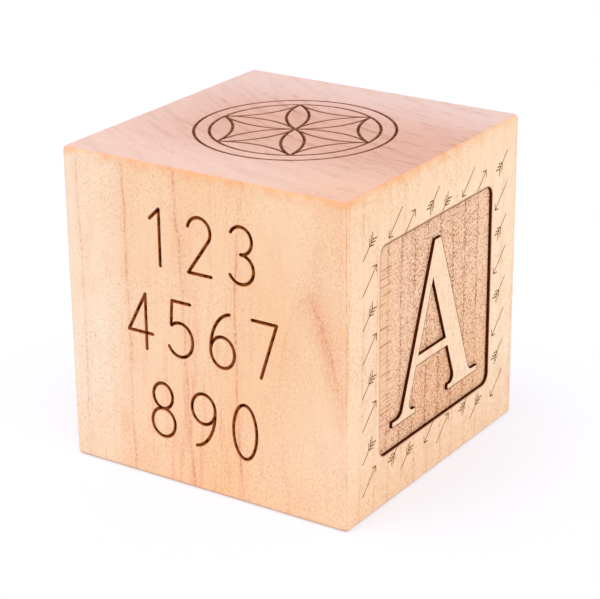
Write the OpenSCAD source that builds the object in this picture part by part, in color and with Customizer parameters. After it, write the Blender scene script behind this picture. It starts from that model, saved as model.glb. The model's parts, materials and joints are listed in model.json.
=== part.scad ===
// Wooden alphabet block with a raised letter in a sunk panel.
// The bottom rests on Z = 0 and the block is centred on X and Y.
// The letter panel is on the +X face, the plain numeral face is at -Y and the top is at +Z.

/* [Block] */
// Width of the block, from the left face to the letter face
block_w = 63.5; // [50:0.5:90]
// Depth of the block, from the numeral face to the back
block_d = 63.5; // [54:0.5:90]
// Height of the block, along the grain
block_h = 64.2; // [54:0.1:90]
// Radius of the sanded edges
edge_r = 0.9; // [0.3:0.1:3]

/* [Sunk panel] */
// Width of the sunk panel
panel_w = 42; // [38:0.5:48]
// Height of the sunk panel
panel_h = 42; // [38:0.5:48]
// Radius of the panel's corners
panel_r = 2.2; // [1:0.1:6]
// Depth of the panel floor below the face
panel_depth = 0.6; // [0.4:0.1:3]
// Distance of the panel from the middle of the face, towards the back
panel_dy = 0.3; // [-1.5:0.1:1.5]
// Distance of the panel from the middle of the face, upwards
panel_dz = -0.5; // [-1.5:0.1:1.5]

/* [Burnt layers] */
// Thickness of the toasted layer on the panel floor
toast_t = 0.3; // [0.1:0.05:0.6]
// Thickness of the charred layer on the upright walls
char_t = 0.15; // [0.1:0.05:0.4]

/* [Raised letter] */
// Height of the letter from its base line to its apex
letter_h = 33; // [26:0.5:35]
// Spread of the two legs at the base line, without the serifs
letter_w = 27; // [22:0.5:29]
// Width of the flat apex
apex_w = 2.4; // [1.5:0.1:4]
// Width of the thick right leg, square to the leg
thick_w = 5.4; // [4:0.1:7]
// Width of the thin left leg, square to the leg
thin_w = 2.3; // [1.5:0.1:3.5]
// Thickness of the crossbar
bar_t = 2; // [1.2:0.1:3]
// Height of the crossbar's underside above the base line
bar_z = 9.5; // [6:0.5:12]
// Thickness of the serifs
serif_t = 1.2; // [0.8:0.1:2.5]
// Reach of each serif past its leg
serif_reach = 2.8; // [1.5:0.1:3.5]
// Largest radius of the brackets between legs and serifs
bracket_r = 2; // [0.6:0.1:3]

/* [Hidden] */
$fn = 64;

// Full depth of the pocket under the panel, with the toasted layer
pocket_depth = panel_depth + toast_t;
// How far a cutter stands clear of the surface that it cuts
cut_over = 1;
// Share of a serif's reach that a bracket may take up
bracket_share = 0.7;
// How far a bracket runs into the leg and the serif that it joins
bracket_root = min(serif_t, thin_w) / 4;

// A line is [a, b, c]: a and b are its unit normal, which points out of the letter, and
// the letter lies where a * x + b * y <= c. Lowering c moves the edge into the letter.
function line_through(p, q) =
    let (run = q - p, normal = [run.y, -run.x] / norm(run)) [normal.x, normal.y, normal * p];
function moved_out(line, step) = [line.x, line.y, line.z + step];
function far_side(line, width) = [-line.x, -line.y, width - line.z];
function meet(l, m) =
    let (det = l.x * m.y - l.y * m.x)
    [l.z * m.y - m.z * l.y, l.x * m.z - m.x * l.z] / det;

// Edges of the letter, with its base line at 0 and its apex over the middle
base_line = [0, -1, 0];
top_line = [0, 1, letter_h];
serif_line = [0, 1, serif_t];
thin_outer = line_through([-apex_w / 2, letter_h], [-letter_w / 2, 0]);
thin_inner = far_side(thin_outer, thin_w);
thick_outer = line_through([letter_w / 2, 0], [apex_w / 2, letter_h]);
thick_inner = far_side(thick_outer, thick_w);
bar_under = [0, -1, -bar_z];
bar_upper = [0, 1, bar_z + bar_t];

// Rounded rectangle, centred
module rounded_rect(w, h, r) {
    square([w - 2 * r, h], center = true);
    square([w, h - 2 * r], center = true);
    for (x = [-1, 1], y = [-1, 1])
        translate([x * (w / 2 - r), y * (h / 2 - r)]) circle(r);
}

// Concave bracket between the top of a serif and one side of a leg, rooted in both of them
module bracket(side, inset) {
    normal = [side.x, side.y];
    opening = 180 - acos(normal.y);
    radius = min(bracket_r, bracket_share * serif_reach * tan(opening / 2));
    middle = meet(moved_out(serif_line, radius), moved_out(side, radius));
    on_leg = middle - (radius + inset) * normal;
    on_serif = [middle.x, serif_t - inset];
    root = meet(moved_out(serif_line, -inset - bracket_root), moved_out(side, -inset - bracket_root));
    along_serif = [on_serif - [0, bracket_root], on_serif];
    along_leg = [on_leg, on_leg - bracket_root * normal];
    // The points run counter-clockwise on either side of the leg
    outline = normal.x > 0
        ? [root, each along_serif, middle, each along_leg]
        : [root, along_leg[1], along_leg[0], middle, along_serif[1], along_serif[0]];
    difference() {
        polygon(outline);
        translate(middle) circle(radius + inset);
    }
}

// Slab serif under one leg, with a bracket on each side
module foot(left_side, right_side, inset) {
    left = min(meet(base_line, left_side).x, meet(serif_line, left_side).x) - serif_reach + inset;
    right = max(meet(base_line, right_side).x, meet(serif_line, right_side).x) + serif_reach - inset;
    translate([left, inset]) square([right - left, serif_t - 2 * inset]);
    bracket(left_side, inset);
    bracket(right_side, inset);
}

// The two legs, thin on the left and thick on the right, meeting at the apex
module legs(inset) {
    bottom = moved_out(base_line, -inset);
    top = moved_out(top_line, -inset);
    left = moved_out(thin_outer, -inset);
    right = moved_out(thick_outer, -inset);
    gap_left = moved_out(thin_inner, -inset);
    gap_right = moved_out(thick_inner, -inset);
    below = moved_out(base_line, cut_over);
    difference() {
        polygon([meet(bottom, left), meet(bottom, right), meet(top, right), meet(top, left)]);
        polygon([meet(below, gap_left), meet(below, gap_right), meet(gap_left, gap_right)]);
    }
}

// Crossbar, with its ends buried in the middle of the two legs
module crossbar(inset) {
    under = moved_out(bar_under, -inset);
    upper = moved_out(bar_upper, -inset);
    left = moved_out(thin_outer, -thin_w / 2);
    right = moved_out(thick_outer, -thick_w / 2);
    polygon([meet(under, left), meet(under, right), meet(upper, right), meet(upper, left)]);
}

// Outline of the letter, drawn in by inset on every edge and centred on its height
module letter_outline(inset) {
    translate([0, -letter_h / 2]) {
        legs(inset);
        crossbar(inset);
        foot(thin_outer, thin_inner, inset);
        foot(thick_inner, thick_outer, inset);
    }
}

// Outline of the sunk panel, drawn in by inset
module panel_outline(inset) {
    rounded_rect(panel_w - 2 * inset, panel_h - 2 * inset, panel_r - inset);
}

// Stands a flat shape on the letter face: its x runs to the back, its y runs up, and it
// grows outwards by thickness from the given depth below the face
module on_letter_face(depth, thickness) {
    translate([block_w / 2 - depth, panel_dy, block_h / 2 + panel_dz])
        rotate([90, 0, 90]) linear_extrude(thickness) children();
}

// Cube with every edge rounded, centred: three crossed bars with rounded edges
module crossed_bars() {
    intersection() {
        linear_extrude(block_h, center = true) rounded_rect(block_w, block_d, edge_r);
        rotate([90, 0, 0]) linear_extrude(block_d, center = true) rounded_rect(block_w, block_h, edge_r);
        rotate([90, 0, 90]) linear_extrude(block_w, center = true) rounded_rect(block_d, block_h, edge_r);
    }
}

// What a ball of the edge radius leaves of one corner; x, y and z are 1 or -1
module corner_waste(x, y, z) {
    reach = edge_r + cut_over;
    difference() {
        translate([x, y, z] * reach / 2) cube(reach, center = true);
        sphere(edge_r);
    }
}

// Cube with every edge rounded and every corner rounded to a ball, standing on Z = 0
module eased_cube() {
    ball_centre = [block_w, block_d, block_h] / 2 - edge_r * [1, 1, 1];
    translate([0, 0, block_h / 2]) difference() {
        crossed_bars();
        for (x = [-1, 1], y = [-1, 1], z = [-1, 1])
            translate([x * ball_centre.x, y * ball_centre.y, z * ball_centre.z]) corner_waste(x, y, z);
    }
}

// Solid maple block, with the letter left standing in its pocket
module block() {
    color("#f3cfab") difference() {
        eased_cube();
        on_letter_face(pocket_depth, pocket_depth + cut_over) difference() {
            panel_outline(0);
            letter_outline(char_t);
        }
    }
}

// Toasted layer on the floor of the panel and in the counter of the letter
module panel_floor() {
    color("#c99f78") on_letter_face(pocket_depth, toast_t) difference() {
        panel_outline(char_t);
        letter_outline(0);
    }
}

// Charred layer on the upright wall round the panel
module panel_rim() {
    color("#3b2013") on_letter_face(pocket_depth, pocket_depth) difference() {
        panel_outline(0);
        panel_outline(char_t);
    }
}

// Charred layer on the upright wall round the letter and its counter
module letter_edge() {
    color("#3b2013") on_letter_face(pocket_depth, pocket_depth) difference() {
        letter_outline(0);
        letter_outline(char_t);
    }
}

block();
panel_floor();
panel_rim();
letter_edge();
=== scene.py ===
import json
import math

import bmesh
import bpy
from mathutils import Matrix, Vector

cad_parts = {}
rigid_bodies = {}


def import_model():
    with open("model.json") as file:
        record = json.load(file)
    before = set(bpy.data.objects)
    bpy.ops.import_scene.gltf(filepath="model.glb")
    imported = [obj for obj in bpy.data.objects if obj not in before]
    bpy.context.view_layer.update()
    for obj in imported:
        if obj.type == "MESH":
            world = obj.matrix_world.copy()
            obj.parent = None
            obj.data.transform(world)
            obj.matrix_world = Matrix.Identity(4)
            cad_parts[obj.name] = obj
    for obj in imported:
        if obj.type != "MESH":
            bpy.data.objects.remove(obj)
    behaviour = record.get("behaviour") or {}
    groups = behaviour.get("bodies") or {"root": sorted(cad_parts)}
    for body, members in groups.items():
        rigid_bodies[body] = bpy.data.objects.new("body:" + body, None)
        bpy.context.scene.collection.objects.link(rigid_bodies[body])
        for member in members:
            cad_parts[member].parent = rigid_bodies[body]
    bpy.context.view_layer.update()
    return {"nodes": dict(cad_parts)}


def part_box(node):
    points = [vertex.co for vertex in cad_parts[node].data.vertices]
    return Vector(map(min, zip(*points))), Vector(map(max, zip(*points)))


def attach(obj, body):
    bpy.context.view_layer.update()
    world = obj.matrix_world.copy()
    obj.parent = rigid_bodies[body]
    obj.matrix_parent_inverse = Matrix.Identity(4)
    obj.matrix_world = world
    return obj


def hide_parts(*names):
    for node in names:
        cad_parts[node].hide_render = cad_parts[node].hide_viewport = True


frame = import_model()
mm = 0.001

blockLow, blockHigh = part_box("block")
blockWidth, blockDepth, blockHeight = (blockHigh - blockLow) / mm
print("frame loaded: block of", round(blockWidth, 1), round(blockDepth, 1), round(blockHeight, 1), "mm")


# Shader helpers

def tint(hexColour):  # a colour as it looks on screen, made linear for a socket by the sRGB curve
    def linear(part):
        return part / 12.92 if part <= 0.04045 else ((part + 0.055) / 1.055) ** 2.4
    return tuple(linear(int(hexColour[i:i + 2], 16) / 255) for i in (1, 3, 5)) + (1.0,)


def feed(tree, socket, value):  # links a socket, or sets a plain value
    if isinstance(value, bpy.types.NodeSocket):
        tree.links.new(value, socket)
    else:
        socket.default_value = value


def addNode(tree, kind, inputs=None, **settings):
    node = tree.nodes.new(kind)
    for name, value in settings.items():
        setattr(node, name, value)
    for name, value in (inputs or {}).items():
        feed(tree, node.inputs[name], value)
    return node


def calc(tree, operation, *values, clamp=False):
    node = addNode(tree, "ShaderNodeMath", operation=operation, use_clamp=clamp)
    for socket, value in zip(node.inputs, values):
        feed(tree, socket, value)
    return node.outputs[0]


def times(tree, first, *others):
    for value in others:
        first = calc(tree, "MULTIPLY", first, value)
    return first


def gain(tree, value, share):  # 1, raised or lowered by a share of the value
    return calc(tree, "MULTIPLY_ADD", value, share, 1.0)


def centred(tree, value, size):  # noise moved to both sides of nought
    return times(tree, calc(tree, "SUBTRACT", value, 0.5), size)


def ramp(tree, value, low, high, start=0.0, end=1.0):  # eased step from start to end
    node = addNode(tree, "ShaderNodeMapRange", interpolation_type="SMOOTHSTEP")
    levels = {"Value": value, "From Min": low, "From Max": high, "To Min": start, "To Max": end}
    for name, level in levels.items():
        feed(tree, node.inputs[name], level)
    return node.outputs["Result"]


def bell(tree, value, middle, spread):  # 1 at the middle, falling off over the spread
    offset = calc(tree, "DIVIDE", calc(tree, "SUBTRACT", value, middle), spread)
    return calc(tree, "EXPONENT", times(tree, offset, offset, -1.0))


def blendColours(tree, amount, first, second, mode="MIX"):
    node = addNode(tree, "ShaderNodeMix", data_type="RGBA", blend_type=mode)
    feed(tree, node.inputs[0], amount)
    feed(tree, node.inputs[6], first)  # 6, 7 and 2 are the node's colour sockets
    feed(tree, node.inputs[7], second)
    return node.outputs[2]


def blendValues(tree, amount, first, second):
    return calc(tree, "ADD", first, times(tree, amount, calc(tree, "SUBTRACT", second, first)))


def split(tree, vector):  # its parts along X, Y and Z
    return addNode(tree, "ShaderNodeSeparateXYZ", {"Vector": vector}).outputs


def lengthOf(tree, vector):
    node = addNode(tree, "ShaderNodeVectorMath", operation="LENGTH")
    feed(tree, node.inputs[0], vector)
    return node.outputs["Value"]


def placeInMm(tree):  # Object coordinates, in millimetres
    node = addNode(tree, "ShaderNodeVectorMath", operation="SCALE")
    feed(tree, node.inputs[0], addNode(tree, "ShaderNodeTexCoord").outputs["Object"])
    node.inputs["Scale"].default_value = 1 / mm
    return node.outputs[0]


def facingOf(tree):  # which way the surface looks
    return split(tree, addNode(tree, "ShaderNodeNewGeometry").outputs["Normal"])


def stretched(tree, place, sizes):  # a pattern whose grain has these sizes in mm
    node = addNode(tree, "ShaderNodeVectorMath", operation="DIVIDE")
    feed(tree, node.inputs[0], place)
    node.inputs[1].default_value = sizes
    return node.outputs[0]


def noise(tree, place, sizes, detail=2.0, rough=0.5):
    node = addNode(tree, "ShaderNodeTexNoise", {"Scale": 1.0, "Detail": detail, "Roughness": rough})
    feed(tree, node.inputs["Vector"], stretched(tree, place, sizes))
    return node.outputs["Fac"]


def scatter(tree, place, pattern):  # noise of a named grain, eased between two of its levels
    return ramp(tree, noise(tree, place, *pattern["grain"]), *pattern["levels"])


def cells(tree, place, sizes, flat=False):  # scattered points: distance to the nearest, its random value
    node = addNode(tree, "ShaderNodeTexVoronoi", {"Scale": 1.0, "Randomness": 1.0}, feature="F1")
    node.voronoi_dimensions = "2D" if flat else "3D"
    feed(tree, node.inputs["Vector"], stretched(tree, place, sizes))
    chance = addNode(tree, "ShaderNodeSeparateColor", {"Color": node.outputs["Color"]}).outputs[0]
    return node.outputs["Distance"], chance


def newGroup(name, inputs, outputs):
    group = bpy.data.node_groups.new(name, "ShaderNodeTree")
    for label, value in inputs.items():
        socket = group.interface.new_socket(label, in_out="INPUT", socket_type="NodeSocketFloat")
        socket.default_value = value
    for label in outputs:
        group.interface.new_socket(label, in_out="OUTPUT", socket_type="NodeSocketFloat")
    return group, addNode(group, "NodeGroupInput"), addNode(group, "NodeGroupOutput")


def useGroup(tree, group, inputs=None):
    return addNode(tree, "ShaderNodeGroup", inputs, node_tree=group).outputs


# In the dictionaries below lengths are mm in the block's own frame. A zone or a pattern's levels
# are (from, to, value at from, value at to), and a grain is (sizes, detail, roughness).

# Growth rings round a pith behind the block

ringPattern = {
    "pithX": 48.0, "pithY": 112.0,  # the tree's middle line, upright
    "firstRadius": 167.5, "pitch": 4.7,
    "swellX": 19.0, "swellLean": 0.12, "swellLeft": 12.0, "swellRight": 5.4,  # the arch leans right
    "swellGrowth": 0.0215, "swellEnd": 40.0,  # and grows with each mm below the top, down to here
    "archX": 26.0, "archSpread": 6.0,  # clear at its right
    "archThin": -0.3, "archLine": 0.6, "archHaze": 0.6,
    "faintX": 16.5, "faintSpread": 5.0, "faintBy": -0.7,  # faint at its left
    "bowX": -5.8, "bowSpread": 11.0, "bowSize": 0.25,  # the bowed line beside it
    "fade": 16.0,  # how deep the swell and the bow reach
    "strays": (((26, 9, 34), 0.26), ((4, 4, 6), 0.1), ((0.9, 0.9, 1.4), 0.03)),  # wandering, in rings
    "hazeFall": -9.0,
    "leftSide": (-30.0, -21.0, 0.5, 1.0),
    "vivid": {"grain": ((10, 10, 13),), "levels": (0.36, 0.62, 0.3, 1.0)},
    "grit": {"grain": ((0.4, 0.4, 0.5),), "levels": (0.38, 0.62, 0.12, 1.0)},
}


def makeGrowthRings():
    p = ringPattern
    group, given, put = newGroup("growthRings", {"Line Width": 0.02}, ["Line", "Haze", "Ring"])
    place = placeInMm(group)
    axes = split(group, place)
    flat = addNode(group, "ShaderNodeCombineXYZ")
    feed(group, flat.inputs[0], calc(group, "SUBTRACT", axes[0], p["pithX"]))
    feed(group, flat.inputs[1], calc(group, "SUBTRACT", axes[1], p["pithY"]))
    radius = lengthOf(group, flat.outputs[0])
    rings = calc(group, "DIVIDE", calc(group, "SUBTRACT", p["firstRadius"], radius), p["pitch"])

    belowTop = calc(group, "SUBTRACT", blockHeight, axes[2])
    behindFront = calc(group, "ADD", axes[1], blockDepth / 2)
    near = calc(group, "EXPONENT", calc(group, "DIVIDE", behindFront, -p["fade"]))
    crest = calc(group, "MULTIPLY_ADD", belowTop, p["swellLean"], p["swellX"])
    grown = times(group, calc(group, "MINIMUM", belowTop, p["swellEnd"]), p["swellGrowth"])
    pastCrest = calc(group, "GREATER_THAN", axes[0], crest)
    spread = calc(group, "MULTIPLY_ADD", pastCrest, p["swellRight"] - p["swellLeft"], p["swellLeft"])
    swell = times(group, bell(group, axes[0], crest, spread), grown)
    bowed = times(group, belowTop, p["bowSize"] / blockHeight)
    bow = times(group, bell(group, axes[0], p["bowX"], p["bowSpread"]), bowed)
    bend = times(group, calc(group, "SUBTRACT", swell, bow), near)
    for sizes, share in p["strays"]:
        bend = calc(group, "ADD", bend, centred(group, noise(group, place, sizes), share))
    rings = calc(group, "ADD", rings, bend)

    # Distance to the nearest ring line, as a share of a ring
    aside = calc(group, "ABSOLUTE", calc(group, "SUBTRACT", calc(group, "FRACT", rings), 0.5))
    aside = calc(group, "SUBTRACT", 0.5, aside)
    arch = times(group, bell(group, axes[0], p["archX"], p["archSpread"]), near)
    haze = calc(group, "EXPONENT", times(group, aside, p["hazeFall"]))
    line = bell(group, aside, 0.0, given.outputs["Line Width"])
    line = times(group, line, gain(group, arch, p["archThin"]))
    line = calc(group, "MAXIMUM", line, times(group, arch, haze, p["archLine"]))
    vivid = calc(group, "MAXIMUM", scatter(group, place, p["vivid"]), arch)
    leftLeg = times(group, bell(group, axes[0], p["faintX"], p["faintSpread"]), near)
    vivid = times(group, vivid, gain(group, leftLeg, p["faintBy"]))
    vivid = times(group, vivid, ramp(group, axes[0], *p["leftSide"]))
    feed(group, put.inputs["Line"], times(group, line, vivid, scatter(group, place, p["grit"])))
    feed(group, put.inputs["Haze"], times(group, haze, gain(group, arch, p["archHaze"]), vivid))
    feed(group, put.inputs["Ring"], rings)
    return group


# Fine grain, pores, pink flames, upright fibres and slow changes of tone

figurePattern = {
    "grain": ((0.4, 0.6, 0.55), 2.0, 0.6), "dark": (0.48, 0.7), "light": (0.3, 0.52, 1.0, 0.0),
    "speckSizes": (0.6, 1.1, 0.9), "speckEdge": (0.15, 0.42, 1.0, 0.0), "speckShare": 0.3,
    "flames": {"grain": ((1.1, 2.2, 12.0), 3.0, 0.6), "levels": (0.48, 0.7)},
    "fibres": ((0.16, 0.16, 5.0), 2.0, 0.6),
    "tone": {"grain": ((20, 16, 45),), "levels": (0.3, 0.7)},
}


def makeWoodFigure():
    p = figurePattern
    labels = ["Dark Grain", "Light Grain", "Specks", "Flames", "Fibres", "Tone"]
    group, given, put = newGroup("woodFigure", {"Speck Share": p["speckShare"]}, labels)
    place = placeInMm(group)
    grain = noise(group, place, *p["grain"])
    feed(group, put.inputs["Dark Grain"], ramp(group, grain, *p["dark"]))
    feed(group, put.inputs["Light Grain"], ramp(group, grain, *p["light"]))
    distance, chance = cells(group, place, p["speckSizes"])
    shown = calc(group, "LESS_THAN", chance, given.outputs["Speck Share"])
    feed(group, put.inputs["Specks"], times(group, ramp(group, distance, *p["speckEdge"]), shown))
    feed(group, put.inputs["Flames"], scatter(group, place, p["flames"]))
    feed(group, put.inputs["Fibres"], noise(group, place, *p["fibres"]))
    feed(group, put.inputs["Tone"], scatter(group, place, p["tone"]))
    return group


# Where a point is: how deep below the nearest face, how far from the edges, the top and the panel

panelCorner = 2.2


def makeBlockShape():
    group, given, put = newGroup("blockShape", {}, ["Depth", "Edge Distance", "Below Top", "Past Panel"])
    axes = split(group, placeInMm(group))
    fromX = calc(group, "SUBTRACT", blockWidth / 2, calc(group, "ABSOLUTE", axes[0]))
    fromY = calc(group, "SUBTRACT", blockDepth / 2, calc(group, "ABSOLUTE", axes[1]))
    fromMiddle = calc(group, "ABSOLUTE", calc(group, "SUBTRACT", axes[2], blockHeight / 2))
    fromZ = calc(group, "SUBTRACT", blockHeight / 2, fromMiddle)
    lower = calc(group, "MINIMUM", fromX, fromY)
    upper = calc(group, "MAXIMUM", fromX, fromY)
    edgeDistance = calc(group, "MAXIMUM", lower, calc(group, "MINIMUM", upper, fromZ))
    feed(group, put.inputs["Depth"], calc(group, "MINIMUM", lower, fromZ))
    feed(group, put.inputs["Edge Distance"], edgeDistance)
    feed(group, put.inputs["Below Top"], calc(group, "SUBTRACT", blockHeight, axes[2]))

    # Distance outside the panel's rounded outline, on the letter face
    panelLow, panelHigh = (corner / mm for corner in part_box("panel_rim"))
    sides = []
    for axis in (1, 2):
        middle = (panelLow[axis] + panelHigh[axis]) / 2
        half = (panelHigh[axis] - panelLow[axis]) / 2
        offset = calc(group, "ABSOLUTE", calc(group, "SUBTRACT", axes[axis], middle))
        beyond = calc(group, "MAXIMUM", calc(group, "SUBTRACT", offset, half - panelCorner), 0.0)
        sides.append(times(group, beyond, beyond))
    reach = calc(group, "SQRT", calc(group, "ADD", *sides))
    feed(group, put.inputs["Past Panel"], calc(group, "SUBTRACT", reach, panelCorner))
    return group


growthRings = makeGrowthRings()
woodFigure = makeWoodFigure()
blockShape = makeBlockShape()
print("shader groups built")


def newMaterial(name):
    material = bpy.data.materials.new(name)
    material.use_nodes = True
    tree = material.node_tree
    return material, tree, tree.nodes["Principled BSDF"]


textureLevels = (0.2, 0.8)  # the part of a texture that the roughness follows


def finishSurface(tree, shader, look, colour, texture, height):
    feed(tree, shader.inputs["Base Color"], colour)
    feed(tree, shader.inputs["Roughness"], ramp(tree, texture, *textureLevels, *look["roughness"]))
    shader.inputs["Specular IOR Level"].default_value = look["gloss"]
    strength, distance = look["bump"]
    relief = {"Strength": strength, "Distance": distance * mm, "Height": height}
    bump = addNode(tree, "ShaderNodeBump", relief)
    tree.links.new(bump.outputs["Normal"], shader.inputs["Normal"])


maple = {
    "roughness": (0.5, 0.68), "gloss": 0.25, "bump": (0.3, 0.05), "bumpGrain": -0.5, "ringWidth": 0.022,

    # Which way a surface has to look: cut across the rings, end grain, upright, letter face, smoked face
    "quarterFacing": (0.5, 0.9), "endFacing": (0.6, 0.95), "uprightFacing": (0.0, 0.3, 1.0, 0.0),
    "letterFacing": (-0.5, 0.5), "smokeFacing": (0.3, 0.6),

    # Long grain: the numeral face is palest at its left side, where the paleness is painted glare, and low
    # at its right
    "pale": "#fdead3", "warm": "#f9cc9f", "toneShare": 0.3,
    "leftGlareAcross": (-28.0, -13.0, 0.0, 0.7), "warmBack": (-14.0, 14.0, 0.0, 0.7),
    "palerRight": (12.0, 30.0, 0.0, 0.28), "palerLow": (8.0, 40.0, 1.0, 0.0),

    # Faces cut across the rings, with ray flecks that are coarsest at the front and low on the letter face
    "quarter": "#fbdcb8", "quarterBack": "#fee5c5", "quarterTop": "#f7ce9e", "fleck": "#cf8d5c",
    "quarterShare": 0.85, "quarterDeep": (-26.0, 30.0), "quarterHigh": (0.0, 12.0, 0.4, 0.0),
    "fleckSizes": (0.8, 0.9, 0.42), "fleckEdge": (0.15, 0.5, 0.3, 0.0), "fleckShare": 0.35,
    "coarseFront": (-27.0, -14.0, 2.3, 1.0), "coarseLow": (6.0, 16.0, 2.0, 1.0), "hiddenFlecks": 0.5,

    # Clouds, a blush that is pinkest low in the middle of the numeral face, a warmer foot
    "cloud": "#eab48e", "clouds": {"grain": ((4.0, 4.0, 7.0), 3.0, 0.6), "levels": (0.45, 0.7, 0.0, 0.16)},
    "blush": "#f2ae8e", "blushX": -2.0, "blushSpread": 13.0, "blushBase": 0.12,
    "blushDown": (18.0, 60.0, 0.15, 0.75),
    "low": "#fbbf88", "lowDown": (46.0, 64.0), "lowBase": 0.22, "lowQuarter": 0.08,

    # Ring lines and fine grain
    "ringHaze": "#f3a478", "hazeShare": 0.34, "hazeQuarter": 0.2,
    "ringLine": "#c9a48e", "lineShare": 0.72, "lineQuarter": 0.38,
    "speck": "#cb8f63", "glint": "#fff3e0", "grainQuarter": -0.1,
    "grains": (("Dark Grain", 0.27, "speck"), ("Light Grain", 0.24, "glint"), ("Specks", 0.28, "speck")),
    "rubbed": {"grain": ((9.0, 9.0, 12.0),), "levels": (0.38, 0.62, 0.4, 1.0)},
    "rubbedLow": (6.0, 26.0, 1.0, 0.3),

    # End grain: the top is darkest across its middle, with streaks along the rings
    "endFront": "#eec8bc", "endBack": "#e8c6bf", "endDeep": (-26.0, 20.0), "endShare": 0.95,
    "endWarm": "#dfaa9a", "stain": (6.0, 27.0, 1.0, 0.0), "stainAcross": (-30.0, -11.0, 0.3, 1.0),
    "endCorner": "#eeb796", "cornerAcross": (2.0, 31.0), "cornerDeep": (-31.0, -4.0, 0.6, 0.0),
    "endStreak": "#b47c6c", "streakShare": 0.4, "fineShare": 0.9, "marksStain": 0.6, "marksBase": 0.4,
    "streaks": {"grain": ((0.26, 12.0, 40.0), 3.0, 0.55), "levels": (0.46, 0.72)},
    "broken": {"grain": ((3.0, 1.5, 9.0),), "levels": (0.42, 0.6)},
    "mottle": {"grain": ((1.2, 0.6, 3.0), 2.0, 0.6), "levels": (0.42, 0.68)},
    "mottleShare": 0.08, "endGlint": 0.1,

    # Painted highlight along the rounded edges, ragged and patchy, and painted shade along the bottom edge
    "edge": "#f1a467", "uprightHighlight": "#dc9a62", "under": "#b08068",
    "ragged": ((1.6, 1.6, 1.6), 3.0), "raggedSize": 1.1, "raggedUpright": -0.7,
    "edgeFrom": 0.2, "edgeTo": 0.95, "edgeUpright": -0.5,
    "uprightShare": (2.0, 55.0, 0.75, 0.4), "topShare": (-10.0, 24.0, 0.28, 0.16),
    "patches": {"grain": ((3.2, 3.2, 3.2),), "levels": (0.4, 0.64, 0.1, 0.5)},
    "patchesBack": (-10.0, 24.0, 1.0, 0.45), "patchShare": 0.5,
    "glowDown": (0.6, 2.8, 1.0, 0.0), "underEdge": (0.0, 0.75, 0.85, 0.0),

    # Smoke round the panel, hardly any at its front, where the pale wood also stands for a painted
    # highlight
    "smoke": "#a5603a", "smokeRagged": 0.3,
    "smokeReach": (0.0, 0.45, 0.55, 0.0), "smokeBack": (-20.6, -20.0, 0.2, 1.0),
}


def mapleSides(tree, at):
    m = maple
    axes = at["axes"]
    place = at["place"]
    figure = at["figure"]
    quarter = at["quarter"]
    belowTop = at["shape"]["Below Top"]
    # Painted glare: the numeral face stays pale along its left side
    warmth = ramp(tree, axes[0], *m["leftGlareAcross"])
    warmth = calc(tree, "MAXIMUM", warmth, ramp(tree, axes[1], *m["warmBack"]))
    warmth = calc(tree, "ADD", warmth, times(tree, figure["Tone"], m["toneShare"]))
    paler = times(tree, ramp(tree, axes[0], *m["palerRight"]), ramp(tree, axes[2], *m["palerLow"]))
    colour = blendColours(tree, calc(tree, "SUBTRACT", warmth, paler), tint(m["pale"]), tint(m["warm"]))
    deep = ramp(tree, axes[1], *m["quarterDeep"])
    across = blendColours(tree, deep, tint(m["quarter"]), tint(m["quarterBack"]))
    across = blendColours(tree, ramp(tree, belowTop, *m["quarterHigh"]), across, tint(m["quarterTop"]))
    colour = blendColours(tree, times(tree, quarter, m["quarterShare"]), colour, across)

    distance, chance = cells(tree, place, m["fleckSizes"])
    shown = calc(tree, "LESS_THAN", chance, m["fleckShare"])
    flecks = times(tree, ramp(tree, distance, *m["fleckEdge"]), shown)
    letterSide = ramp(tree, at["facing"][0], *m["letterFacing"])
    coarse = ramp(tree, axes[1], *m["coarseFront"])
    coarse = calc(tree, "MAXIMUM", coarse, ramp(tree, axes[2], *m["coarseLow"]))
    coarse = blendValues(tree, letterSide, 1.0, coarse)
    onLetter = calc(tree, "MULTIPLY_ADD", letterSide, 1 - m["hiddenFlecks"], m["hiddenFlecks"])
    flecks = times(tree, flecks, onLetter, coarse)
    colour = blendColours(tree, times(tree, flecks, quarter), colour, tint(m["fleck"]))
    colour = blendColours(tree, scatter(tree, place, m["clouds"]), colour, tint(m["cloud"]))

    blush = bell(tree, axes[0], m["blushX"], m["blushSpread"])
    blush = times(tree, blush, ramp(tree, belowTop, *m["blushDown"]))
    blush = calc(tree, "ADD", times(tree, blush, calc(tree, "SUBTRACT", 1.0, quarter)), m["blushBase"])
    colour = blendColours(tree, times(tree, figure["Flames"], blush), colour, tint(m["blush"]))
    lowShare = calc(tree, "ADD", times(tree, quarter, m["lowQuarter"]), m["lowBase"])
    lowShare = times(tree, ramp(tree, belowTop, *m["lowDown"]), lowShare)
    colour = blendColours(tree, lowShare, colour, tint(m["low"]))

    hazes = calc(tree, "SUBTRACT", m["hazeShare"], times(tree, quarter, m["hazeQuarter"]))
    hazes = times(tree, at["rings"]["Haze"], hazes)
    colour = blendColours(tree, hazes, colour, tint(m["ringHaze"]))
    lines = blendValues(tree, quarter, m["lineShare"], times(tree, coarse, m["lineQuarter"]))
    lines = times(tree, at["rings"]["Line"], lines)
    colour = blendColours(tree, lines, colour, tint(m["ringLine"]), "MULTIPLY")
    rubbed = scatter(tree, place, m["rubbed"])
    rubbed = calc(tree, "MAXIMUM", rubbed, ramp(tree, axes[2], *m["rubbedLow"]))
    grainShare = times(tree, rubbed, gain(tree, quarter, m["grainQuarter"]))
    for grain, amount, tone in m["grains"]:
        colour = blendColours(tree, times(tree, figure[grain], amount, grainShare), colour, tint(m[tone]))
    return colour


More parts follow.
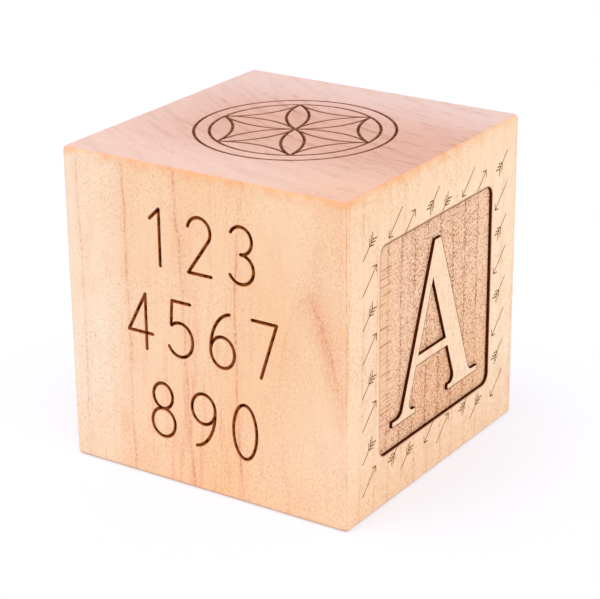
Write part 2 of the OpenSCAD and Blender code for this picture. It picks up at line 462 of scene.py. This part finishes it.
def mapleEnds(tree, at):  # end grain soaks up more and looks pinker
    m = maple
    axes = at["axes"]
    place = at["place"]
    haze = at["rings"]["Haze"]
    deeper = ramp(tree, calc(tree, "ABSOLUTE", axes[1]), *m["stain"])
    deeper = times(tree, deeper, ramp(tree, axes[0], *m["stainAcross"]))
    colour = blendColours(tree, ramp(tree, axes[1], *m["endDeep"]), tint(m["endFront"]), tint(m["endBack"]))
    colour = blendColours(tree, deeper, colour, tint(m["endWarm"]))
    corner = times(tree, ramp(tree, axes[0], *m["cornerAcross"]), ramp(tree, axes[1], *m["cornerDeep"]))
    colour = blendColours(tree, corner, colour, tint(m["endCorner"]))
    alongRings = {"X": at["rings"]["Ring"], "Y": axes[0], "Z": axes[2]}
    alongRings = addNode(tree, "ShaderNodeCombineXYZ", alongRings).outputs[0]
    streaks = times(tree, scatter(tree, alongRings, m["streaks"]), m["streakShare"])
    fine = times(tree, haze, haze, scatter(tree, place, m["broken"]), m["fineShare"])
    stained = calc(tree, "MULTIPLY_ADD", deeper, m["marksStain"], m["marksBase"])
    marks = calc(tree, "MULTIPLY", calc(tree, "ADD", streaks, fine), stained, clamp=True)
    colour = blendColours(tree, marks, colour, tint(m["endStreak"]))
    mottle = times(tree, scatter(tree, place, m["mottle"]), m["mottleShare"])
    colour = blendColours(tree, mottle, colour, tint(m["endStreak"]))
    glints = times(tree, at["figure"]["Light Grain"], m["endGlint"])
    return blendColours(tree, glints, colour, tint(m["glint"]))


def mapleEdges(tree, at, colour):  # edges get a painted highlight and the bottom edge painted shade, and smoke browns the wood round the panel
    m = maple
    axes = at["axes"]
    place = at["place"]
    facing = at["facing"]
    belowTop = at["shape"]["Below Top"]
    pastPanel = at["shape"]["Past Panel"]
    ragged = centred(tree, noise(tree, place, *m["ragged"]), m["raggedSize"])
    # Painted highlight: the rounded edges take an orange tint, ragged, and patchy along the top
    upright = ramp(tree, calc(tree, "ABSOLUTE", facing[2]), *m["uprightFacing"])
    highlightJitter = times(tree, ragged, gain(tree, upright, m["raggedUpright"]))
    fromEdge = calc(tree, "ADD", at["shape"]["Edge Distance"], highlightJitter)
    edgeTo = calc(tree, "MULTIPLY_ADD", upright, m["edgeUpright"], m["edgeTo"])
    edge = ramp(tree, fromEdge, m["edgeFrom"], edgeTo, 1.0, 0.0)
    uprightShare = ramp(tree, belowTop, *m["uprightShare"])
    patches = times(tree, scatter(tree, place, m["patches"]), ramp(tree, axes[1], *m["patchesBack"]))
    topShare = ramp(tree, axes[1], *m["topShare"])
    topShare = calc(tree, "MULTIPLY_ADD", patches, m["patchShare"], topShare)
    edge = times(tree, edge, blendValues(tree, upright, topShare, uprightShare))
    highlightColour = blendColours(tree, upright, tint(m["edge"]), tint(m["uprightHighlight"]))
    colour = blendColours(tree, edge, colour, highlightColour)
    # Painted highlight: a patchy band just below the top edge on the sides
    glow = ramp(tree, calc(tree, "ADD", belowTop, ragged), *m["glowDown"])
    glow = times(tree, glow, patches, calc(tree, "SUBTRACT", 1.0, at["endGrain"]))
    colour = blendColours(tree, glow, colour, tint(m["edge"]))
    # Painted shade along the bottom edge, where the block sits on the table
    colour = blendColours(tree, ramp(tree, axes[2], *m["underEdge"]), colour, tint(m["under"]))
    reach = calc(tree, "ADD", pastPanel, times(tree, ragged, m["smokeRagged"]))
    # Less smoke at the front of the panel, partly a painted highlight
    smoke = times(tree, ramp(tree, reach, *m["smokeReach"]), ramp(tree, axes[1], *m["smokeBack"]))
    outside = calc(tree, "GREATER_THAN", pastPanel, 0.0)
    outside = times(tree, outside, ramp(tree, facing[0], *m["smokeFacing"]))
    return blendColours(tree, times(tree, smoke, outside), colour, tint(m["smoke"]))


def makeMaple():
    m = maple
    material, tree, shader = newMaterial("maple")
    place = placeInMm(tree)
    facing = facingOf(tree)
    figure = useGroup(tree, woodFigure)
    at = {
        "rings": useGroup(tree, growthRings, {"Line Width": m["ringWidth"]}),
        "figure": figure,
        "shape": useGroup(tree, blockShape),
        "place": place,
        "axes": split(tree, place),
        "facing": facing,
        "quarter": ramp(tree, calc(tree, "ABSOLUTE", facing[0]), *m["quarterFacing"]),
        "endGrain": ramp(tree, calc(tree, "ABSOLUTE", facing[2]), *m["endFacing"]),
    }
    endShare = times(tree, at["endGrain"], m["endShare"])
    colour = blendColours(tree, endShare, mapleSides(tree, at), mapleEnds(tree, at))
    colour = mapleEdges(tree, at, colour)
    height = calc(tree, "ADD", figure["Fibres"], times(tree, figure["Dark Grain"], m["bumpGrain"]))
    finishSurface(tree, shader, m, colour, figure["Fibres"], height)
    return material


engraving = {
    "roughness": (0.75, 0.95), "gloss": 0.05, "bump": (0.6, 0.08),
    "rim": "#b8662b", "core": "#3a0f02", "endRim": "#a8725a", "endCore": "#57291c",
    "weak": "#96522a", "weakEnd": "#8f5f4a",  # where the beam burnt less
    "uneven": {"grain": ((1.3, 1.3, 1.3), 3.0, 0.6), "levels": (0.4, 0.6, 0.0, 0.8)},
    "sideRim": "#a56f42", "sideCore": "#4d2508", "sideWithin": 0.5,  # on the letter face
    "topDown": (1.0, 2.0, 1.0, 0.0),
    "scorch": ((0.5, 0.5, 0.5), 3.0, 0.6), "scorchSize": 0.15, "burnDepth": (0.03, 0.17),
}


def makeEngraved():
    m = engraving
    material, tree, shader = newMaterial("engravedMaple")
    shape = useGroup(tree, blockShape)
    place = placeInMm(tree)
    scorch = noise(tree, place, *m["scorch"])
    top = ramp(tree, shape["Below Top"], *m["topDown"])
    rim = blendColours(tree, top, tint(m["rim"]), tint(m["endRim"]))
    core = blendColours(tree, top, tint(m["core"]), tint(m["endCore"]))
    weak = blendColours(tree, top, tint(m["weak"]), tint(m["weakEnd"]))
    core = blendColours(tree, scatter(tree, place, m["uneven"]), core, weak)
    side = calc(tree, "GREATER_THAN", split(tree, place)[0], blockWidth / 2 - m["sideWithin"])
    rim = blendColours(tree, side, rim, tint(m["sideRim"]))
    core = blendColours(tree, side, core, tint(m["sideCore"]))
    depth = calc(tree, "ADD", shape["Depth"], centred(tree, scorch, m["scorchSize"]))
    colour = blendColours(tree, ramp(tree, depth, *m["burnDepth"]), rim, core)
    finishSurface(tree, shader, m, colour, scorch, scorch)
    return material


toasted = {
    "roughness": (0.67, 0.83), "gloss": 0.15, "bump": (0.6, 0.08), "bumpDots": 1.5, "ringWidth": 0.05,
    "pale": "#f9d3b1", "warm": "#f6caa7",
    "grain": "#b9703f", "grainShare": 0.42, "glint": "#ffe9d2", "glintShare": 0.25,
    "atFront": (-16.0, -6.0, 1.0, 0.0), "frontUp": (14.0, 30.0),
    "middleY": -4.5, "middleSpread": 4.5, "middleUp": (34.0, 46.0),

    # Deeper tone low down and at the back
    "low": "#f0b784", "deepLow": (15.0, 40.0, 0.3, 0.0), "deepFront": -0.9,
    "deepBack": (-6.0, 4.0, 0.0, 0.16), "deepMiddle": 0.14,

    # Rays lie open as long thin bars where the floor runs along them
    "bar": "#b5663c", "barShare": 0.7, "barGround": "#f6c8a0", "groundShare": 0.6,
    "barBand": (-16.2, -15.2, 1.0, 0.0),
    "bars": {"grain": ((9.0, 9.0, 0.42), 2.0, 0.6), "levels": (0.52, 0.68)},

    # The beam burns the open pores to dark dots, most of them along the ring lines
    "dot": "#9c4008", "dotSizes": (0.39, 0.6, 1.0), "dotEdge": (0.17, 0.47, 1.0, 0.0),
    "calmBack": (14.0, 18.0, 0.0, 0.3), "calmFront": 0.18, "calmMiddle": -0.12,
    "patchy": {"grain": ((2.0, 2.0, 4.0),), "levels": (0.35, 0.65, 0.35, 0.6)},
    "crowdHaze": 0.4, "crowdBand": 0.35, "burntHaze": 0.35, "burntBase": 0.65, "burntFront": -0.48,
    "line": "#7a3f1c", "lineShare": 0.85,
    "broken": {"grain": ((3.0, 3.0, 0.6),), "levels": (0.35, 0.6, 0.3, 1.0)},
}


def makeToasted():
    m = toasted
    material, tree, shader = newMaterial("toastedMaple")
    rings = useGroup(tree, growthRings, {"Line Width": m["ringWidth"]})
    figure = useGroup(tree, woodFigure)
    place = placeInMm(tree)
    axes = split(tree, place)
    atFront = ramp(tree, axes[1], *m["atFront"])
    upperMiddle = bell(tree, axes[1], m["middleY"], m["middleSpread"])
    upperMiddle = times(tree, upperMiddle, ramp(tree, axes[2], *m["middleUp"]))
    deeper = times(tree, ramp(tree, axes[2], *m["deepLow"]), gain(tree, atFront, m["deepFront"]))
    deeper = calc(tree, "ADD", deeper, ramp(tree, axes[1], *m["deepBack"]))
    deeper = calc(tree, "MULTIPLY_ADD", upperMiddle, m["deepMiddle"], deeper)
    colour = blendColours(tree, figure["Tone"], tint(m["pale"]), tint(m["warm"]))
    colour = blendColours(tree, deeper, colour, tint(m["low"]))
    grains = times(tree, figure["Dark Grain"], m["grainShare"])
    colour = blendColours(tree, grains, colour, tint(m["grain"]))
    glints = times(tree, figure["Light Grain"], m["glintShare"])
    colour = blendColours(tree, glints, colour, tint(m["glint"]))

    inBand = ramp(tree, axes[1], *m["barBand"])
    colour = blendColours(tree, times(tree, inBand, m["groundShare"]), colour, tint(m["barGround"]))
    bars = times(tree, scatter(tree, place, m["bars"]), inBand, m["barShare"])
    colour = blendColours(tree, bars, colour, tint(m["bar"]))

    floorPlace = addNode(tree, "ShaderNodeCombineXYZ", {"X": axes[1], "Y": axes[2]}).outputs[0]
    distance, chance = cells(tree, floorPlace, m["dotSizes"], flat=True)
    frontAbove = times(tree, atFront, ramp(tree, axes[2], *m["frontUp"]))
    calm = ramp(tree, axes[1], *m["calmBack"])
    calm = calc(tree, "MULTIPLY_ADD", frontAbove, m["calmFront"], calm)
    calm = calc(tree, "MULTIPLY_ADD", upperMiddle, m["calmMiddle"], calm)
    calm = calc(tree, "ADD", calm, times(tree, inBand, m["crowdBand"]))
    crowd = calc(tree, "ADD", scatter(tree, place, m["patchy"]), times(tree, rings["Haze"], m["crowdHaze"]))
    crowd = calc(tree, "SUBTRACT", crowd, calm)
    dots = times(tree, ramp(tree, distance, *m["dotEdge"]), calc(tree, "LESS_THAN", chance, crowd))
    burnt = calc(tree, "MULTIPLY_ADD", rings["Haze"], m["burntHaze"], m["burntBase"])
    burnt = times(tree, burnt, gain(tree, frontAbove, m["burntFront"]))
    colour = blendColours(tree, times(tree, dots, burnt), colour, tint(m["dot"]))
    lines = times(tree, rings["Line"], scatter(tree, place, m["broken"]), m["lineShare"])
    colour = blendColours(tree, lines, colour, tint(m["line"]))
    height = calc(tree, "SUBTRACT", figure["Fibres"], times(tree, dots, m["bumpDots"]))
    finishSurface(tree, shader, m, colour, figure["Fibres"], height)
    return material


charred = {
    "roughness": (0.75, 0.93), "gloss": 0.04, "bump": (0.7, 0.1),
    "black": "#2e0e03", "brown": "#5e2409",
    "crust": ((0.4, 0.4, 0.4), 3.0, 0.65), "crustLevels": (0.35, 0.7),
    "amber": "#97501f", "rimCrust": 0.1, "rimDepth": (0.03, 0.16, 0.35, 0.0),
    "rimHighlight": "#dca478", "rimHighlightBefore": -20.3,  # a pale painted highlight on the edge at the front of the panel
    "rimHighlightFacing": (0.5, 0.9), "rimHighlightUp": (14.0, 44.0, 0.85, 0.55),
}


def makeCharred():
    m = charred
    material, tree, shader = newMaterial("charredMaple")
    figure = useGroup(tree, woodFigure)
    shape = useGroup(tree, blockShape)
    place = placeInMm(tree)
    axes = split(tree, place)
    crust = noise(tree, place, *m["crust"])
    colour = blendColours(tree, ramp(tree, crust, *m["crustLevels"]), tint(m["black"]), tint(m["brown"]))
    rim = calc(tree, "ADD", shape["Depth"], times(tree, crust, m["rimCrust"]))
    colour = blendColours(tree, ramp(tree, rim, *m["rimDepth"]), colour, tint(m["amber"]))
    # Painted highlight: the charred rim at the front of the panel is made pale, most of all low down
    rimHighlight = ramp(tree, facingOf(tree)[0], *m["rimHighlightFacing"])
    rimHighlight = times(tree, rimHighlight, ramp(tree, axes[2], *m["rimHighlightUp"]))
    rimHighlight = times(tree, rimHighlight, calc(tree, "LESS_THAN", axes[1], m["rimHighlightBefore"]))
    colour = blendColours(tree, rimHighlight, colour, tint(m["rimHighlight"]))
    finishSurface(tree, shader, m, colour, figure["Fibres"], crust)
    return material


mapleMaterial = makeMaple()
engravedMaterial = makeEngraved()
toastedMaterial = makeToasted()
charredMaterial = makeCharred()
print("materials built")


# Engraving: each stroke is a sharp-edged bar laid along the face, so it cuts a groove with sloping sides

strokeShape = {
    "endAngles": (60, 35, 12),  # degrees round the end, where the radius shrinks as a ball's does
    "closedWithin": 1e-6, "mergeWithin": 1e-5,
}


def dressBlock(mesh):  # slot 0 is the wood and slot 1 the grooves
    mesh.materials.clear()
    mesh.materials.append(mapleMaterial)
    mesh.materials.append(engravedMaterial)


def onFace(name):  # face coordinates, across and up and out, into the block's frame
    places = {
        "numeral": ((1, 0, 0), (0, 0, 1), (0, -1, 0), (0, blockLow.y, 0)),
        "letter": ((0, 1, 0), (0, 0, 1), (1, 0, 0), (blockHigh.x, 0, 0)),
        "top": ((1, 0, 0), (0, 1, 0), (0, 0, 1), (0, 0, blockHigh.z)),
    }
    across, up, out, origin = (Vector(v) for v in places[name])
    turn = Matrix((across, up, out)).transposed().to_4x4()
    return Matrix.Translation(origin) @ turn


def arc(cx, cy, rx, ry, start, end, step=9.0):
    count = max(2, round(abs(end - start) / step))
    angles = [math.radians(start + (end - start) * i / count) for i in range(count + 1)]
    return [(cx + rx * math.cos(a), cy + ry * math.sin(a)) for a in angles]


def makeStroke(points, pen, depth, face):  # one pen line as a closed bar, its ends rounded off
    radius = pen / 2
    closed = math.dist(points[0], points[-1]) < strokeShape["closedWithin"]
    path = [(u, v, 1.0) for u, v in (points[:-1] if closed else points)]
    if not closed:
        for near, far, start in ((points[0], points[1], True), (points[-1], points[-2], False)):
            run = Vector(near) - Vector(far)
            run *= radius / run.length
            for angle in strokeShape["endAngles"]:
                out = Vector(near) + run * math.cos(math.radians(angle))
                path.insert(0 if start else len(path), (out.x, out.y, math.sin(math.radians(angle))))
    curve = bpy.data.curves.new("stroke", "CURVE")
    curve.dimensions = "3D"
    curve.bevel_depth = radius
    curve.bevel_resolution = 0
    curve.use_fill_caps = True
    spline = curve.splines.new("POLY")
    spline.points.add(len(path) - 1)
    for point, (u, v, share) in zip(spline.points, path):
        point.co = (u, v, 0, 1)
        point.radius = share
    spline.use_cyclic_u = closed
    tube = bpy.data.objects.new("stroke", curve)
    mesh = bpy.data.meshes.new_from_object(tube)
    bpy.data.objects.remove(tube)
    bpy.data.curves.remove(curve)
    dressBlock(mesh)
    shape = bmesh.new()
    shape.from_mesh(mesh)
    bmesh.ops.remove_doubles(shape, verts=shape.verts, dist=strokeShape["mergeWithin"])
    bmesh.ops.scale(shape, vec=(mm, mm, mm * depth / radius), verts=shape.verts)
    bmesh.ops.transform(shape, matrix=onFace(face), verts=shape.verts)
    bmesh.ops.recalc_face_normals(shape, faces=shape.faces)
    for part in shape.faces:
        part.material_index = 1
    shape.to_mesh(mesh)
    shape.free()
    return mesh


def engrave(block, strokes, pen, depth, face):
    pens = bpy.data.collections.new("pens")
    bpy.context.scene.collection.children.link(pens)
    for points in strokes:
        pens.objects.link(bpy.data.objects.new("stroke", makeStroke(points, pen, depth, face)))
    cut = block.modifiers.new("engraving", "BOOLEAN")
    cut.operation = "DIFFERENCE"
    cut.solver = "MANIFOLD"
    cut.operand_type = "COLLECTION"
    cut.collection = pens
    plain = block.data
    block.data = bpy.data.meshes.new_from_object(block.evaluated_get(bpy.context.evaluated_depsgraph_get()))
    block.modifiers.clear()
    bpy.data.meshes.remove(plain)
    for stroke in list(pens.objects):
        bpy.data.meshes.remove(stroke.data)
    bpy.data.collections.remove(pens)
    cutFaces = sum(part.material_index == 1 for part in block.data.polygons)
    print("engraved", len(strokes), "strokes:", len(block.data.polygons), "faces,", cutFaces, "of them cut")


# Plain numerals in three rows, drawn in a box 1 wide and 2 high

numerals = {
    "rows": ("123", "4567", "890"), "baselines": (44.5, 26.9, 9.35), "middle": -0.25,
    "width": 5.6, "height": 11.1, "pitch": 9.5, "pen": 0.74, "depth": 0.32,
}

numeralStrokes = {
    "0": [arc(0.5, 1, 0.47, 1, 0, 360)],
    "1": [[(0.2, 1.62), (0.58, 2)], [(0.58, 2), (0.58, 0)]],
    "2": [arc(0.5, 1.5, 0.46, 0.5, 165, -28) + [(0.04, 0)], [(0.04, 0), (0.96, 0)]],
    "3": [arc(0.46, 1.52, 0.44, 0.48, 150, -90), arc(0.46, 0.52, 0.5, 0.52, 90, -150)],
    "4": [[(0.74, 0), (0.74, 2)], [(0.74, 2), (0, 0.58)], [(0, 0.58), (1, 0.58)]],
    "5": [[(0.9, 2), (0.16, 2)], [(0.16, 2), (0.1, 1.12)], arc(0.45, 0.62, 0.53, 0.62, 129, -150)],
    "6": [arc(0.92, 0.58, 0.9, 1.42, 97, 180), arc(0.5, 0.56, 0.48, 0.56, 0, 360)],
    "7": [[(0.02, 2), (0.98, 2)], [(0.98, 2), (0.34, 0)]],
    "8": [arc(0.5, 1.53, 0.4, 0.47, 0, 360), arc(0.5, 0.53, 0.48, 0.53, 0, 360)],
    "9": [arc(0.08, 1.42, 0.9, 1.42, 0, -83), arc(0.5, 1.44, 0.48, 0.56, 0, 360)],
}


def layNumerals():
    n = numerals
    strokes = []
    for row, base in zip(n["rows"], n["baselines"]):
        left = n["middle"] - ((len(row) - 1) * n["pitch"] + n["width"]) / 2
        for place, figure in enumerate(row):
            start = left + place * n["pitch"]
            for stroke in numeralStrokes[figure]:
                strokes.append([(start + u * n["width"], base + v * n["height"] / 2) for u, v in stroke])
    return strokes, n["pen"], n["depth"], "numeral"


# Border of small slanted arrows round the letter panel, heads and feathers by turns

arrowBorder = {
    "shaft": 6.55, "shortShaft": 4.8, "barb": 1.3,
    "nockBack": 2.05, "vane": 1.4, "vaneGap": 0.75, "vaneCount": 3,  # feathers stop short of a head's place
    "leftTail": (-26.4, 51.8), "rightTail": (27.2, 58.1), "columnStep": 6.66, "columnCount": 8,
    "topUpTail": (-11.7, 52.8), "topDownTail": (-13.0, 58.1),
    "bottomUpTail": (-12.6, 5.3), "bottomDownTail": (-14.0, 10.6), "rowStep": 13.45, "rowCount": 3,
    "pen": 0.26, "depth": 0.15,
}


def drawArrow(tail, way, length, feathered):  # way is 1 for up and right, -1 for down and left
    a = arrowBorder
    slant = math.sqrt(0.5) * way

    def corner(distance, arm):  # two arms, square to each other, from a point along the shaft
        u, v = (start + slant * distance for start in tail)
        return [[(u, v), (u + arm, v)], [(u, v), (u, v + arm)]]

    if feathered:
        length -= a["nockBack"]
        heads = [corner(length - i * a["vaneGap"], way * a["vane"]) for i in range(a["vaneCount"])]
    else:
        heads = [corner(length, -way * a["barb"])]
    shaft = [tail, (tail[0] + slant * length, tail[1] + slant * length)]
    return [shaft] + [arm for head in heads for arm in head]


def layArrows():
    a = arrowBorder
    strokes = []
    for i in range(a["columnCount"]):
        drop = i * a["columnStep"]
        for (across, up), way in ((a["leftTail"], 1), (a["rightTail"], -1)):
            strokes += drawArrow((across, up - drop), way, a["shaft"], i % 2 == 0)
    for i in range(a["rowCount"]):
        step = i * a["rowStep"]
        odd = i % 2 == 1
        for tail, way, length, feathered in (
            ("topUpTail", 1, "shortShaft", odd), ("topDownTail", -1, "shaft", odd),
            ("bottomUpTail", 1, "shaft", not odd), ("bottomDownTail", -1, "shortShaft", not odd),
        ):
            across, up = a[tail]
            strokes += drawArrow((across + step, up), way, a[length], feathered)
    return strokes, a["pen"], a["depth"], "letter"


# Six-petal compass rosette on the top: every arc has the same radius

rosette = {
    "petal": 16.5, "ring": 19.5, "petals": 6, "step": 5.0, "pen": 0.68, "depth": 0.28,
    "short": 0.55,  # degrees by which an arc stops short, inside the grooves it meets
}


def layRosette():
    r = rosette
    size = r["petal"]
    strokes = [arc(0, 0, reach, reach, 0, 360, r["step"]) for reach in (r["ring"], size)]
    between = size * math.sqrt(3)  # centres of the arcs that join the tips of the petals
    sector = 360.0 / r["petals"]
    for i in range(r["petals"]):
        petal = (sector * i, size, sector)
        joiner = (sector * i + sector / 2, between, sector / 2)
        for turn, distance, half in (petal, joiner):
            half -= r["short"]
            cx = distance * math.cos(math.radians(turn))
            cy = distance * math.sin(math.radians(turn))
            strokes.append(arc(cx, cy, size, size, turn + 180 - half, turn + 180 + half, r["step"]))
    return strokes, r["pen"], r["depth"], "top"


blockMesh = {
    "mergeWithin": 0.001, "flatWithin": 0.2,  # mm and degrees, for the plain block
    "mergeCuts": 0.0005, "sharpFrom": 35,  # and for the engraved one
    "faceWeight": 100,
}


def makeBlock():
    b = blockMesh
    mesh = bpy.data.meshes.new("engravedBlock")
    shape = bmesh.new()
    shape.from_mesh(frame["nodes"]["block"].data)
    bmesh.ops.remove_doubles(shape, verts=shape.verts, dist=b["mergeWithin"] * mm)
    flatAngle = math.radians(b["flatWithin"])
    bmesh.ops.dissolve_limit(shape, angle_limit=flatAngle, verts=shape.verts, edges=shape.edges)
    for part in shape.faces:
        part.material_index = 0
    shape.to_mesh(mesh)
    shape.free()
    dressBlock(mesh)
    block = bpy.data.objects.new("engravedBlock", mesh)
    bpy.context.collection.objects.link(block)
    for lay in (layNumerals, layArrows, layRosette):
        engrave(block, *lay())

    # Smooth over the sanded edges and the strokes, crisp where the cuts meet the faces
    sharpAngle = math.radians(b["sharpFrom"])
    shape = bmesh.new()
    shape.from_mesh(block.data)
    bmesh.ops.remove_doubles(shape, verts=shape.verts, dist=b["mergeCuts"] * mm)
    for part in shape.faces:
        part.smooth = True
    for edge in shape.edges:
        edge.smooth = len(edge.link_faces) == 2 and edge.calc_face_angle() < sharpAngle
    shape.to_mesh(block.data)
    shape.free()
    even = block.modifiers.new("evenFaces", "WEIGHTED_NORMAL")
    even.keep_sharp = True
    even.weight = b["faceWeight"]
    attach(block, "root")
    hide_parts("block")


makeBlock()
burntLayers = {"panel_floor": toastedMaterial, "panel_rim": charredMaterial, "letter_edge": charredMaterial}
for node, material in burntLayers.items():
    layer = frame["nodes"][node]
    layer.data.materials.clear()
    layer.data.materials.append(material)
print("block engraved and burnt layers dressed")


# White table and soft light from all round, with a steep lamp at the left and a lower one at the right

studio = {
    "tableSize": 6.0, "tableColour": "#faf8ff",  # sizes and distances of the studio are in metres
    "glow": 0.6, "glowColour": (1.0, 1.0, 1.04, 1.0),
    "glowFrom": 38.0, "glowTo": 82.0,  # the table turns pure white this many mm from the block's middle
    "backdrop": (1, 1, 1, 1), "ambient": 0.72,
    # Azimuth, height, distance, size and power
    "lamps": {"left": (-45.0, 68.0, 2.4, 1.1, 14.4), "right": (62.0, 35.0, 2.4, 1.4, 15.6)},
}


def outward(azimuth, rise):  # direction away from the block, both angles in degrees
    turn = math.radians(azimuth)
    tilt = math.radians(rise)
    return Vector((math.sin(turn) * math.cos(tilt), -math.cos(turn) * math.cos(tilt), math.sin(tilt)))


def seenByEye(tree):  # 1 on rays that show the background, straight or through gloss
    path = addNode(tree, "ShaderNodeLightPath").outputs
    indirect = calc(tree, "MAXIMUM", path["Is Glossy Ray"], path["Is Transmission Ray"])
    return calc(tree, "MAXIMUM", path["Is Camera Ray"], indirect)


def makeTable():
    s = studio
    table = bpy.data.meshes.new("table")
    sheet = bmesh.new()
    bmesh.ops.create_grid(sheet, x_segments=1, y_segments=1, size=s["tableSize"] / 2)
    sheet.to_mesh(table)
    sheet.free()
    tableTop = bpy.data.objects.new("table", table)
    bpy.context.collection.objects.link(tableTop)
    material, tree, shader = newMaterial("tablePaint")
    shader.inputs["Base Color"].default_value = tint(s["tableColour"])
    shader.inputs["Roughness"].default_value = 1.0
    shader.inputs["Specular IOR Level"].default_value = 0.0
    glow = addNode(tree, "ShaderNodeEmission", {"Color": s["glowColour"], "Strength": 1.0})
    both = addNode(tree, "ShaderNodeMixShader")
    whiter = ramp(tree, lengthOf(tree, placeInMm(tree)), s["glowFrom"], s["glowTo"], s["glow"], 1.0)
    feed(tree, both.inputs[0], times(tree, seenByEye(tree), whiter))
    feed(tree, both.inputs[1], shader.outputs[0])
    feed(tree, both.inputs[2], glow.outputs[0])
    feed(tree, tree.nodes["Material Output"].inputs["Surface"], both.outputs[0])
    table.materials.append(material)


def makeLight():
    s = studio
    world = bpy.data.worlds.new("tent")
    bpy.context.scene.world = world
    world.use_nodes = True
    tree = world.node_tree
    backdrop = tree.nodes["Background"]
    backdrop.inputs["Color"].default_value = s["backdrop"]
    levels = {"Value": seenByEye(tree), "To Min": s["ambient"], "To Max": 1.0}
    strength = addNode(tree, "ShaderNodeMapRange", levels)
    feed(tree, backdrop.inputs["Strength"], strength.outputs["Result"])
    middle = Vector((0, 0, blockHigh.z / 2))
    for name, (azimuth, rise, distance, size, power) in s["lamps"].items():
        lamp = bpy.data.lights.new(name, "AREA")
        lamp.energy = power
        lamp.size = size
        light = bpy.data.objects.new(name, lamp)
        back = outward(azimuth, rise)
        light.location = middle + back * distance
        light.rotation_euler = (-back).to_track_quat("-Z", "Y").to_euler()
        bpy.context.collection.objects.link(light)


makeTable()
makeLight()

# Camera at the photograph's viewing angle; the aim point is offset from the block's middle

cameraView = {
    "azimuth": 33.611, "elevation": 21.739, "roll": -0.56, "distance": 408.6,
    "aimRight": 0.636, "aimUp": -2.921,
    "lens": 123.98, "sensor": 36, "nearest": 0.01, "farthest": 20,  # the last two in metres
}


def makeCamera():
    c = cameraView
    azimuth = math.radians(c["azimuth"])
    roll = math.radians(c["roll"])
    back = outward(c["azimuth"], c["elevation"])
    level = Vector((math.cos(azimuth), math.sin(azimuth), 0))
    rise = back.cross(level)
    right = level * math.cos(roll) + rise * math.sin(roll)
    up = rise * math.cos(roll) - level * math.sin(roll)
    middle = Vector((0, 0, blockHigh.z / 2))
    lens = bpy.data.cameras.new("camera")
    lens.lens = c["lens"]
    lens.sensor_width = c["sensor"]
    lens.sensor_fit = "HORIZONTAL"
    lens.clip_start = c["nearest"]
    lens.clip_end = c["farthest"]
    camera = bpy.data.objects.new("camera", lens)
    place = middle + (right * c["aimRight"] + up * c["aimUp"] + back * c["distance"]) * mm
    camera.matrix_world = Matrix.Translation(place) @ Matrix((right, up, back)).transposed().to_4x4()
    bpy.context.collection.objects.link(camera)
    bpy.context.scene.camera = camera


makeCamera()
bpy.context.scene.view_settings.view_transform = "Standard"
print("studio and camera set")
